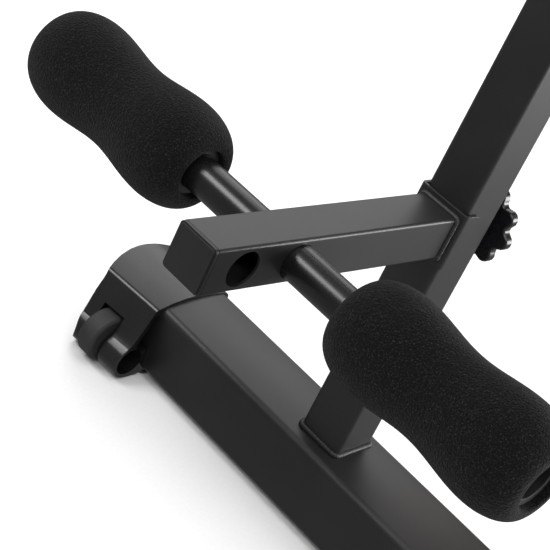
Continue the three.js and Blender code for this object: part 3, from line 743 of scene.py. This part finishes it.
class BENCH_OT_rollers(bpy.types.Operator):
    """Builds the foam rollers and their cores"""
    bl_idname = "bench.rollers"
    bl_label = "Foam rollers"

    def execute(self, context):
        s = context.scene.bench_roller
        for place in ("ankle", "knee"):
            for side in ("left", "right"):
                node = f"{place}_roller_{side}"
                low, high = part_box(node)
                where = Matrix.Translation(middle(node))
                piece = turned(node + "_foam", self.profile(s, (high[1] - low[1]) / 2), where, 96)
                smooth(piece.data, 60)
                hand_over(piece, body_of_node(node), "foam", "foam", node)
                core = f"{place}_core_{side}"
                eased(core, body_of_node(core), "plug", "plastic", 0.25)
        return {"FINISHED"}

    @staticmethod
    def profile(s, half):
        lip = 0.0016
        points = []
        for i in range(15):
            t = (i / 14) ** 1.6
            points.append((s.end + (s.radius - s.end) * math.sqrt(1 - (1 - t) ** 2), half - s.lobe * t))
        for i in range(1, 13):
            t = i / 12
            wave = 0.5 + 0.5 * math.cos(math.pi * t)
            points.append((s.waist + (s.radius - s.waist) * wave, (half - s.lobe) * (1 - t)))
        points += [(r, -y) for r, y in reversed(points[:-1])]
        ends = [(s.bore, half - lip), (s.bore + lip * 0.3, half - lip * 0.3), (s.bore + lip, half)]
        lower = [(r, -y) for r, y in reversed(ends)]
        return ends + points + lower + ends[:1]


class BENCH_OT_tube_plugs(bpy.types.Operator):
    """Builds the domed plugs of the roller tubes"""
    bl_idname = "bench.tube_plugs"
    bl_label = "Tube plugs"

    def execute(self, context):
        for place in ("ankle", "knee"):
            for side, way in (("left", 1), ("right", -1)):
                node = f"{place}_plug_{side}"
                low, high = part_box(node)
                radius, length = (high[0] - low[0]) / 2, high[1] - low[1]
                where = middle(node)
                seat = where.y + way * (length / 2 - PLUG_RISE)
                turn = Matrix.Rotation(0 if way > 0 else math.pi, 4, "Z")
                place_at = Matrix.Translation((where.x, seat, where.z)) @ turn
                piece = turned(node + "_dome", self.profile(radius), place_at)
                smooth(piece.data, 45)
                hand_over(piece, body_of_node(node), "plastic", "plastic", node)
        return {"FINISHED"}

    @staticmethod
    def profile(radius):
        stem = radius - 2.4 * MM
        edge = arc((radius - 1.6 * MM, 1.2 * MM), 1.6 * MM, 0, 62, 5)
        x, y = edge[-1]
        dome = [(x * math.cos(math.pi / 2 * t), y + (4.4 * MM - y) * math.sin(math.pi / 2 * t))
                for t in (i / 8 for i in range(1, 9))]
        dome[-1] = (0.0, 4.4 * MM)
        return [(0.0, -10 * MM), (stem - 0.6 * MM, -10 * MM), (stem, -9.4 * MM), (stem, 0.0),
                (radius - 0.2 * MM, 0.0), (radius, 0.2 * MM)] + edge + dome


class BENCH_OT_board(bpy.types.Operator):
    """Finishes the plywood board under the pad"""
    bl_idname = "bench.board"
    bl_label = "Board"

    def execute(self, context):
        eased("board", "frame", "wood", "wood", 1.2)
        return {"FINISHED"}


class BENCH_OT_pad(bpy.types.Operator):
    """Builds the stuffed pad with its piping and stitches"""
    bl_idname = "bench.pad"
    bl_label = "Pad"

    def execute(self, context):
        s = context.scene.bench_pad
        place, half = self.frame()
        back = place.inverted()
        mesh = merged_copy("pad")
        for v in mesh.vertices:
            x, y, z = back @ v.co
            slim = Vector((x * (1 - s.slack / half.x), y * (1 - s.slack / half.y),
                           -half.z + (z + half.z) * (1 - s.thin / (2 * half.z))))
            v.co = place @ slim
        cover = link("pad_cover", mesh)
        grid = cover.modifiers.new("grid", "REMESH")
        grid.mode, grid.voxel_size, grid.use_smooth_shade = "VOXEL", s.voxel, True
        applied(cover)
        self.swell(context, cover, back, half, s)
        round_off = cover.modifiers.new("round_off", "SUBSURF")
        round_off.levels = round_off.render_levels = 1
        applied(cover)
        surface = tree_of(cover)
        edge = [self.on_surface(surface, place, p) for p in self.seam(half, 0.0)]
        rows = [[self.on_surface(surface, place, p) for p in self.seam(half, inset)]
                for inset in (s.row, 2 * s.row)]
        self.pull_in(cover, edge, s)
        smooth(cover.data, 70)
        hand_over(cover, "frame", "vinyl", "vinyl", "pad")
        self.piping(edge, s)
        self.stitches(rows, s)
        return {"FINISHED"}

    @staticmethod
    def frame():
        """The pad's own frame, X along it and Z out of it, and its half sizes."""
        low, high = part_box("pad")
        c, k = math.cos(BEAM_SLOPE), math.sin(BEAM_SLOPE)
        wide, tall = high[0] - low[0], high[2] - low[2]
        long, thick = (wide * c - tall * k) / (c * c - k * k), (tall * c - wide * k) / (c * c - k * k)
        place = Matrix.Translation(middle("pad")) @ Matrix.Rotation(BEAM_SLOPE, 4, "Y")
        return place, Vector((long / 2, (high[1] - low[1]) / 2, thick / 2))

    @staticmethod
    def swell(context, cover, back, half, s):
        """Blows the cover up from inside while its underside stays on the board."""
        mesh = cover.data
        start = [v.co.copy() for v in mesh.vertices]
        held = cover.vertex_groups.new(name="held")
        held.add([v.index for v in mesh.vertices if (back @ v.co).z < -half.z + 3 * MM], 1.0, "REPLACE")
        cloth = cover.modifiers.new("cloth", "CLOTH")
        cloth.settings.quality = 5
        cloth.settings.mass = 0.3
        cloth.settings.vertex_group_mass = "held"
        cloth.settings.use_pressure = True
        cloth.settings.uniform_pressure_force = s.pressure
        cloth.settings.effector_weights.gravity = 0.0
        for step in range(1, CLOTH_STEPS + 1):
            context.scene.frame_set(step)
        swollen = cover.evaluated_get(context.evaluated_depsgraph_get()).data
        moved = [v.co.copy() for v in swollen.vertices]
        cover.modifiers.clear()
        cover.vertex_groups.clear()
        context.scene.frame_set(1)
        for v, was, now in zip(mesh.vertices, start, moved):
            shift = now - was
            far = shift.length
            if far > 1e-7:
                v.co = was + shift * (s.swell * math.tanh(far / s.swell) / far)
        mesh.update()

    @staticmethod
    def seam(half, inset):
        """Points round the pad's top edge, that far in from it, in the pad's own frame."""
        at = half.z - (1.5 * MM if inset == 0 else 0)
        corner = max(30 * MM - inset, 4 * MM)
        steps = square_path(half.x - 3 * MM - inset, half.y - 3 * MM - inset, corner,
                            Matrix.Translation((0, 0, at)), 8)
        points = []
        for first, second in zip(steps, steps[1:] + steps[:1]):
            cuts = max(1, round((second - first).length / (9 * MM)))
            points += [first.lerp(second, i / cuts) for i in range(cuts)]
        return points

    @staticmethod
    def on_surface(surface, place, point):
        spot, normal, _, _ = surface.find_nearest(place @ point)
        return spot + normal * 0.1 * MM

    @staticmethod
    def pull_in(cover, edge, s):
        """Draws the cover in where the seam holds it."""
        line = kd_of(edge)
        outward = [v.normal.copy() for v in cover.data.vertices]
        for v, normal in zip(cover.data.vertices, outward):
            _, _, far = line.find(v.co)
            if far < s.groove:
                v.co -= normal * s.groove_depth * (1 - far / s.groove) ** 2
        cover.data.update()

    @staticmethod
    def piping(edge, s):
        curve = bpy.data.curves.new("pad_piping", "CURVE")
        curve.dimensions, curve.bevel_depth, curve.bevel_resolution = "3D", s.piping, 3
        spline = curve.splines.new("POLY")
        spline.points.add(len(edge) - 1)
        spline.use_cyclic_u = True
        for point, at in zip(spline.points, edge):
            point.co = (*at, 1.0)
        cord = link("piping_curve", curve)
        bpy.context.view_layer.update()
        mesh = bpy.data.meshes.new_from_object(cord.evaluated_get(bpy.context.evaluated_depsgraph_get()))
        bpy.data.objects.remove(cord)
        mesh.shade_smooth()
        hand_over(link("pad_piping", mesh), "frame", "vinyl", "vinyl")

    @staticmethod
    def stitches(rows, s):
        tree, ids = path_tree("stitch_row", (
            ("Pitch", "NodeSocketFloat", s.stitch),
            ("Length", "NodeSocketFloat", 4 * MM),
            ("Radius", "NodeSocketFloat", 0.5 * MM)))
        given = put(tree, "NodeGroupInput")
        thread = put(tree, "GeometryNodeMeshCylinder",
                     {"Radius": given.outputs["Radius"], "Depth": given.outputs["Length"]}, Vertices=6)
        repeated_on_path(tree, given, thread.outputs["Mesh"], given.outputs["Pitch"], "thread")
        sewn = along_paths("pad_stitches", tree, ids, [(row, True) for row in rows],
                           Pitch=s.stitch, Length=s.stitch * 0.66, Radius=0.5 * MM)
        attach(sewn, "frame")


class BENCH_PT_panel(bpy.types.Panel):
    """Lists the bench's pieces"""
    bl_label = "Decline bench"
    bl_space_type = "VIEW_3D"
    bl_region_type = "UI"
    bl_category = "Bench"

    def draw(self, context):
        for operator in OPERATORS:
            self.layout.operator(operator.bl_idname)


OPERATORS = (
    BENCH_OT_stage, BENCH_OT_steelwork, BENCH_OT_welds, BENCH_OT_plastic, BENCH_OT_wheels,
    BENCH_OT_knob, BENCH_OT_fasteners, BENCH_OT_rollers, BENCH_OT_tube_plugs, BENCH_OT_board,
    BENCH_OT_pad,
)
GROUPS = (("bench_finish", BenchFinish), ("bench_roller", BenchRoller), ("bench_weld", BenchWeld),
          ("bench_pad", BenchPad), ("bench_stage", BenchStage))


def register():
    for _, group in GROUPS:
        bpy.utils.register_class(group)
    for name, group in GROUPS:
        setattr(bpy.types.Scene, name, PointerProperty(type=group))
    for made in (*OPERATORS, BENCH_PT_panel):
        bpy.utils.register_class(made)


def unregister():
    for made in (BENCH_PT_panel, *reversed(OPERATORS)):
        bpy.utils.unregister_class(made)
    for name, group in reversed(GROUPS):
        delattr(bpy.types.Scene, name)
        bpy.utils.unregister_class(group)


def main():
    register()
    for operator in OPERATORS:
        group, name = operator.bl_idname.split(".")
        getattr(getattr(bpy.ops, group), name)()


if __name__ == "__main__":
    main()
